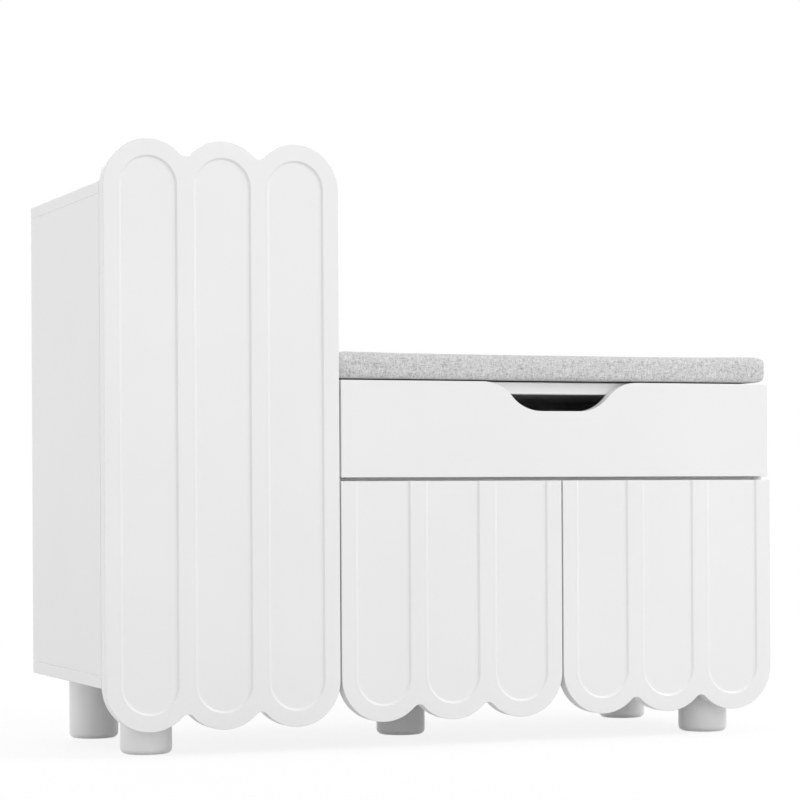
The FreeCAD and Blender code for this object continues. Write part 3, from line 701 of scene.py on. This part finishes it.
def screwHead(x, y, z, inward):
    # Low domed head on the arm with a cross-shaped recess, as rings about its middle
    radius, slot, segments = setScrew["radius"], setScrew["slotHalf"], setScrew["segments"]
    turn = 2 * math.pi * np.arange(segments) / segments
    spread = np.array(setScrew["rings"])[:, None] * radius
    across, up = spread * np.cos(turn), spread * np.sin(turn)
    rise = setScrew["height"] * (1 - setScrew["dome"] * (spread / radius) ** 2) + 0 * turn
    long, short = np.maximum(abs(across), abs(up)), np.minimum(abs(across), abs(up))
    recess = np.clip((slot - short) / (setScrew["slotBlur"] * slot) + 0.5, 0, 1)
    rise = rise - setScrew["slotDepth"] * recess * (long < setScrew["slotReach"] * radius)
    rise[-2:] = -setScrew["sunk"]
    points = np.stack([x + inward * rise, y + across, z + up], -1)
    faces = gridFaces(len(spread), segments, True)
    return points.reshape(-1, 3), faces if inward < 0 else faces[:, ::-1]


def roundCorners(corners, radius):
    # Outline of a polygon that runs counterclockwise, each corner an arc
    ahead = np.roll(corners, -1, axis=0) - corners
    ahead /= np.linalg.norm(ahead, axis=1, keepdims=True)
    arcs = []
    for here, into, out in zip(corners, np.roll(ahead, 1, axis=0), ahead):
        turn = math.atan2(into[0] * out[1] - into[1] * out[0], into @ out)
        sign = 1 if turn > 0 else -1
        start = here - into * radius * math.tan(abs(turn) / 2)
        centre = start + sign * radius * np.array((-into[1], into[0]))
        begin = math.atan2(*(start - centre)[::-1])
        arcs.append((centre, begin, turn, sign))
    runs = []
    for i, (centre, begin, turn, sign) in enumerate(arcs):
        runs.append(arcRun(centre, radius, begin, begin + turn, -sign))
        stop = centre + radius * np.array((math.cos(begin + turn), math.sin(begin + turn)))
        ray = sign * (centre - stop) / radius
        after, first = arcs[(i + 1) % len(arcs)][:2]
        runs.append(lineRun(stop, after + radius * np.array((math.cos(first), math.sin(first))), tuple(ray)))
    return joinRuns(runs)


def plateParts(face, inward, front, z):
    # Cross-shaped plate against a side board, as an outline in y and z carried along x
    middle = front + plate["start"] + plate["length"] / 2
    a, b, c, d = plate["length"] / 2, plate["barHalf"], plate["wingHalf"], plate["halfHeight"]
    half = np.array([(a, -b), (a, b), (c, b), (c, d), (-c, d), (-c, b)])
    corners = np.concatenate([half, -half]) + (middle, z)
    path, inside = roundCorners(corners, plate["round"])
    ease, top = plate["ease"], face + inward * plate["thickness"]

    def upright(flat, x):
        return np.stack([np.full(len(flat), x), *flat.T], -1)

    levels = [(0.0, face), (0.0, top - inward * ease), (ease, top)]
    rings = [upright(snap(path + inside * inset), x) for inset, x in levels]
    lid, lidFaces = holedFlat(path + inside * ease, [])
    under, underFaces = holedFlat(path, [])
    parts = [(np.concatenate(rings), gridFaces(3, len(path), True)), (upright(lid, top), lidFaces),
             (upright(under, face), underFaces[:, ::-1])]
    return parts if inward > 0 else [(points, quads[:, ::-1]) for points, quads in parts]


def makeHinges():
    plates = []
    for name, (side, inward) in hinged.items():
        door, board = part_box(name + "_door"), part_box(side)
        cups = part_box(name + "_hinge_cups")
        edge, face = (door[0][0], board[1][0]) if inward > 0 else (door[1][0], board[0][0])
        doorBack, front = door[1][1], board[0][1]
        root = abs(face - edge) + plate["thickness"]
        heights = (cups[0][2] + scallop["flangeHalf"], cups[1][2] - scallop["flangeHalf"])
        x = (cups[0][0] + cups[1][0]) / 2
        addPiece(name + "_hinge_cups_pressed", [part for z in heights for part in cupParts(x, z, doorBack)],
                 "zinc_steel", name + "_door", name + "_hinge_cups")
        addPiece(name + "_hinge_arms_folded",
                 [part for z in heights for part in armParts(edge, inward, root, front, doorBack, z)],
                 "zinc_steel", "carcass", name + "_hinge_arms")
        plates += [part for z in heights for part in plateParts(face, inward, front, z)]
    addPiece("hinge_plates_pressed", plates, "zinc_steel", "carcass", "hinge_plates")


makeHinges()
print("hinges made")


# Feet: turned cylinders with a well rounded lower edge

foot = {"round": 0.007, "ease": 0.0006, "segments": 96, "roundSteps": 12}


def lathe(profile, x, y, segments):
    # Profile of (radius, z) carried round an upright axis
    turn = 2 * math.pi * np.arange(segments) / segments
    radius, z = profile[:, :1], profile[:, 1:]
    ring = np.stack([x + radius * np.cos(turn), y + radius * np.sin(turn), z + 0 * turn], -1)
    return ring.reshape(-1, 3), gridFaces(len(profile), segments, True)


def makeFoot(name):
    low, high = [np.array(c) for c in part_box(name)]
    x, y = (low[:2] + high[:2]) / 2
    radius = (high[0] - low[0]) / 2
    bend = np.linspace(0, math.pi / 2, foot["roundSteps"])
    rolled = np.stack([radius - foot["round"] * (1 - np.sin(bend)), foot["round"] * (1 - np.cos(bend))], -1)
    profile = np.concatenate([[(0, 0)], rolled, [(radius, high[2] - foot["ease"]),
                                                 (radius - foot["ease"], high[2]), (0, high[2])]])
    addPiece(name + "_turned", [lathe(profile, x, y, foot["segments"])], "white_lacquer", "carcass", name)


for footName in [n for n in nodes if n.startswith("foot_") and n != "foot_studs"]:
    makeFoot(footName)
print("feet made")


# Seat pad: a rounded box of cloth on a grid, blown up a little by a cloth simulation

pad = {"step": 0.005, "lowCorner": (0.0015, 0.0085, 0.0024), "highCorner": (0.0085, 0.0085, 0.0088),
       "startShrink": 0.0012, "endReach": 0.0024, "sideReach": 0.0014, "endSpan": 0.014, "endLift": 0.0045,
       "crown": 0.0046, "sag": 0.0024, "drawIn": 0.0022, "endDrawIn": 0.00132, "endFlat": 10, "sagFlat": 4}
blow = {"pressure": 4.0, "stretch": 40.0, "bending": 2.0, "frames": 20, "maxMove": 0.0015, "pinHeight": 0.004}


def boxGrid(low, high, step):
    # The six sides of a box as grids of quads. Each corner of a face also carries a flat cloth place:
    # the top sheet runs on down the sides, so the yarns follow the wrap.
    points, faces, cloth = [], [], []
    size = high - low
    counts = np.maximum(2, np.round(size / step).astype(int))
    start = 0
    for axis in range(3):
        a, b = [(1, 2), (2, 0), (0, 1)][axis]
        u, v = np.meshgrid(np.linspace(0, 1, counts[a] + 1), np.linspace(0, 1, counts[b] + 1), indexing="ij")
        for side in (0, 1):
            p = np.zeros((u.size, 3))
            p[:, a] = low[a] + u.ravel() * size[a]
            p[:, b] = low[b] + v.ravel() * size[b]
            p[:, axis] = (low, high)[side][axis]
            ids = np.arange(u.size).reshape(u.shape) + start
            quad = np.stack([ids[:-1, :-1], ids[1:, :-1], ids[1:, 1:], ids[:-1, 1:]], -1).reshape(-1, 4)
            faces.append(quad if side else quad[:, ::-1])
            drop = high[2] - p[:, 2]
            flat = p[:, :2].copy()
            if axis < 2:
                flat[:, axis] += drop * (1 if side else -1)
            cloth.append(flat)
            points.append(p)
            start += u.size
    return np.concatenate(points), np.concatenate(faces), np.concatenate(cloth)


def roundBox(points, low, high, lowCorner, highCorner):
    # Moves points of a box onto the same box with its edges rounded, by an ellipsoid at each corner
    lowCorner, highCorner = np.array(lowCorner), np.array(highCorner)
    inner = np.clip(points, low + lowCorner, high - highCorner)
    radius = np.where(points < (low + high) / 2, lowCorner, highCorner)
    out = (points - inner) / radius
    length = np.linalg.norm(out, axis=1, keepdims=True)
    return inner + out / np.maximum(length, 1e-9) * radius


def makePad():
    low, high = [np.array(c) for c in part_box("cushion")]
    high += (pad["endReach"] - pad["startShrink"], -pad["startShrink"], -pad["crown"])
    low[:2] += (pad["startShrink"] - pad["sideReach"], pad["startShrink"])
    raw, faces, cloth = boxGrid(low, high, pad["step"])
    points = roundBox(raw, low, high, pad["lowCorner"], pad["highCorner"])
    # The top is crowned almost to its ends and sags along its length, and the sides are drawn in between
    # the corners. The free end curls up off the seat.
    share = np.clip((points - low) / (high - low), 0, 1)
    bulge = (1 - (2 * share[:, 0] - 1) ** pad["endFlat"]) * np.sin(np.pi * share[:, 1])
    dip = 1 - (2 * share[:, 0] - 1) ** pad["sagFlat"]
    points[:, 2] += (pad["crown"] * bulge - pad["sag"] * dip) * share[:, 2]
    curl = np.clip((points[:, 0] - high[0]) / pad["endSpan"] + 1, 0, 1) ** 2
    points[:, 2] += pad["endLift"] * curl * (1 - share[:, 2])
    points[:, 1] += pad["drawIn"] * np.sin(np.pi * share[:, 0]) * (1 - 2 * share[:, 1])
    points[:, 0] += pad["endDrawIn"] * np.sin(np.pi * share[:, 1]) * (1 - 2 * share[:, 0])
    obj = addMesh("seat_cushion", *mergeEqual(points, faces))
    layer = obj.data.uv_layers.new(name="cloth")
    layer.data.foreach_set("uv", cloth[faces.ravel()].astype(np.float32).ravel())
    return obj, low[2]


def blowUp(obj, floorZ):
    # Cloth with inner pressure and no gravity. The underside is held, and each point keeps only its
    # outward share of the move, up to the cap, so that the corners stay full.
    mesh = obj.data
    count = len(mesh.vertices)
    before, outward = np.zeros(count * 3, np.float32), np.zeros(count * 3, np.float32)
    mesh.vertices.foreach_get("co", before)
    mesh.vertex_normals.foreach_get("vector", outward)
    before, outward = before.reshape(-1, 3), outward.reshape(-1, 3)
    group = obj.vertex_groups.new(name="held")
    held = np.nonzero(before[:, 2] < floorZ + blow["pinHeight"])[0]
    group.add([int(i) for i in held], 1.0, "REPLACE")
    cloth = obj.modifiers.new("cloth", "CLOTH")
    settings = cloth.settings
    settings.use_pressure = True
    settings.uniform_pressure_force = blow["pressure"]
    settings.effector_weights.gravity = 0.0
    settings.vertex_group_mass = "held"
    settings.tension_stiffness = settings.compression_stiffness = blow["stretch"]
    settings.bending_stiffness = blow["bending"]
    scene = bpy.context.scene
    for step in range(1, blow["frames"] + 1):
        scene.frame_set(step)
    graph = bpy.context.evaluated_depsgraph_get()
    shaped = obj.evaluated_get(graph)
    after = np.zeros(count * 3, np.float32)
    shaped.data.vertices.foreach_get("co", after)
    swell = ((after.reshape(-1, 3) - before) * outward).sum(axis=1)
    swell = np.clip(swell, 0.0, blow["maxMove"])
    obj.modifiers.remove(cloth)
    scene.frame_set(1)
    mesh.vertices.foreach_set("co", (before + outward * swell[:, None]).ravel())
    mesh.update()
    print("pad swelled by", round(float(swell.mean()) * 1000, 2), "mm on average")


cushion, padFloor = makePad()
dress(cushion, "grey_linen")
blowUp(cushion, padFloor)
smoothing = cushion.modifiers.new("smoothing", "SUBSURF")
smoothing.levels = smoothing.render_levels = 1
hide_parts("cushion")
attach(cushion, "carcass")
print("seat pad made")


# Stage: pale floor that keeps the shadow, white surround, soft light that is a little stronger from the right

stage = {"floorSize": 40.0, "floorColor": 0.97, "floorBounce": 0.62, "floorRoughness": 0.9,
         "floorSpecular": 0.1, "floorGlow": 0.84, "fade": (0.7, 2.2), "skyLight": 0.76,
         "aim": (0.0, 0.0, 0.35)}


def cameraOnly(tree):
    # 1 for what the camera sees directly, in gloss or through glass
    path = addNode(tree, "ShaderNodeLightPath")
    first = addNode(tree, "ShaderNodeMath", operation="MAXIMUM")
    both = addNode(tree, "ShaderNodeMath", operation="MAXIMUM")
    tree.links.new(path.outputs["Is Camera Ray"], first.inputs[0])
    tree.links.new(path.outputs["Is Glossy Ray"], first.inputs[1])
    tree.links.new(first.outputs["Value"], both.inputs[0])
    tree.links.new(path.outputs["Is Transmission Ray"], both.inputs[1])
    return both.outputs["Value"]


def makeFloor():
    half = stage["floorSize"] / 2
    corners = np.array([(-half, -half, 0), (half, -half, 0), (half, half, 0), (-half, half, 0)])
    floor = addMesh("floor", corners, np.array([[0, 1, 2, 3]]), False)
    mat, tree, shader = newMaterial("paleFloor", grey(stage["floorColor"]), stage["floorRoughness"])
    shader.inputs["Specular IOR Level"].default_value = stage["floorSpecular"]
    tree.links.new(rangeOf(tree, cameraOnly(tree), stage["floorBounce"], stage["floorColor"]),
                   shader.inputs["Base Color"])
    glow = addNode(tree, "ShaderNodeEmission", Strength=1.0)
    mix = addNode(tree, "ShaderNodeMixShader")
    # the shadow fades into plain white away from the object
    away = addNode(tree, "ShaderNodeVectorMath", operation="LENGTH")
    tree.links.new(objectSpace(tree, (1, 1, 1)), away.inputs[0])
    fade = addNode(tree, "ShaderNodeMapRange")
    fade.inputs["From Min"].default_value, fade.inputs["From Max"].default_value = stage["fade"]
    fade.inputs["To Min"].default_value = stage["floorGlow"]
    tree.links.new(away.outputs["Value"], fade.inputs["Value"])
    share = addNode(tree, "ShaderNodeMath", operation="MULTIPLY")
    tree.links.new(cameraOnly(tree), share.inputs[0])
    tree.links.new(fade.outputs["Result"], share.inputs[1])
    tree.links.new(share.outputs["Value"], mix.inputs["Fac"])
    tree.links.new(shader.outputs["BSDF"], mix.inputs[1])
    tree.links.new(glow.outputs["Emission"], mix.inputs[2])
    tree.links.new(mix.outputs["Shader"], tree.nodes["Material Output"].inputs["Surface"])
    floor.data.materials.append(mat)


def makeSky():
    world = bpy.data.worlds.new("studio")
    world.use_nodes = True
    tree = world.node_tree
    back = tree.nodes["Background"]
    back.inputs["Color"].default_value = (1, 1, 1, 1)
    tree.links.new(rangeOf(tree, cameraOnly(tree), stage["skyLight"], 1.0), back.inputs["Strength"])
    bpy.context.scene.world = world


lamps = {"key": {"place": (2.0, -1.5, 2.2), "size": 1.2, "watts": 31.0},
         "front": {"place": (0.0, -4.4, 0.9), "size": 2.4, "watts": 22.0},
         "left": {"place": (-2.7, 0.8, 0.5), "size": 1.6, "watts": 10.8},
         "low": {"place": (-2.2, -2.2, 0.25), "size": 0.8, "watts": 2.5},
         "rear": {"place": (0.4, 4.2, 1.4), "size": 2.4, "watts": 50.0}}


def makeLamps():
    for name, lamp in lamps.items():
        light = bpy.data.lights.new(name, "AREA")
        light.shape = "SQUARE"
        light.size = lamp["size"]
        light.energy = lamp["watts"]
        obj = bpy.data.objects.new(name, light)
        obj.rotation_mode = "QUATERNION"
        obj.rotation_quaternion = (Vector(stage["aim"]) - Vector(lamp["place"])).to_track_quat("-Z", "Y")
        obj.location = lamp["place"]
        bpy.context.scene.collection.objects.link(obj)


shot = {"place": (-1.3059, -3.2945, 0.3122), "turn": 0.377, "roll": -0.0052, "focalPixels": 2738.1,
        "axisDown": 92.67, "picture": 800.0, "sensor": 36.0, "clip": (0.05, 60.0)}


def makeCamera():
    data = bpy.data.cameras.new("camera")
    data.sensor_width = shot["sensor"]
    data.lens = shot["focalPixels"] * shot["sensor"] / shot["picture"]
    data.shift_y = shot["axisDown"] / shot["picture"]
    data.clip_start, data.clip_end = shot["clip"]
    camera = bpy.data.objects.new("camera", data)
    level = Matrix.Rotation(math.pi / 2, 4, "X")
    turned = Matrix.Rotation(-shot["turn"], 4, "Z") @ level @ Matrix.Rotation(shot["roll"], 4, "Z")
    camera.matrix_world = Matrix.Translation(shot["place"]) @ turned
    bpy.context.scene.collection.objects.link(camera)
    bpy.context.scene.camera = camera


makeFloor()
makeSky()
makeLamps()
makeCamera()
bpy.context.scene.view_settings.view_transform = "Standard"
print("stage, light and camera set")
